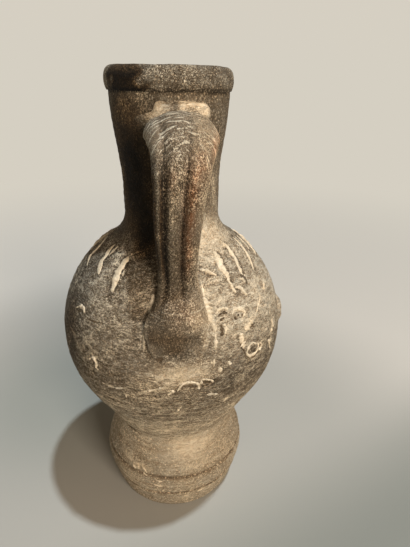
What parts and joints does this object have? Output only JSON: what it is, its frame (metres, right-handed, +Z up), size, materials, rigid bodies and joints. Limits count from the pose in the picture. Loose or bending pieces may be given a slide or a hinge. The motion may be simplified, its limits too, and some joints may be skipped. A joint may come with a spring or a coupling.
{
  "type": "terracotta jug",
  "caption": "Small one-handled terracotta jug: globular body on a turned drum foot, flared neck with a rolled rim, ribbed strap handle from under the rim to the shoulder.",
  "frame": {"origin": "centre of the flat resting face under the foot", "axes": "+Z up along the axis that the pot was turned on; the handle is towards -Y, so the pouring side is +Y; +X is to the right as seen from the handle"},
  "size_m": [0.1144, 0.1158, 0.2299],
  "materials": {
    "foot_clay": "unglazed terracotta, matt, turned lines, warm tan with lime crust",
    "body_clay": "unglazed terracotta, matt, grey-brown with cream slip strokes and lime crust",
    "neck_clay": "unglazed terracotta, matt, darkened by smoke",
    "rim_clay": "unglazed terracotta, worn smooth, nearly black",
    "handle_clay": "unglazed terracotta, matt, grey with a rust-red rib",
    "luting_clay": "smeared clay with a pale crust, matt"
  },
  "bodies": {
    "root": {"foot": "foot_clay", "body": "body_clay", "neck": "neck_clay", "rim": "rim_clay", "handle": "handle_clay", "root_bed": "luting_clay", "pad_bed": "luting_clay", "side_pellet": "luting_clay"}
  },
  "joints": []
}
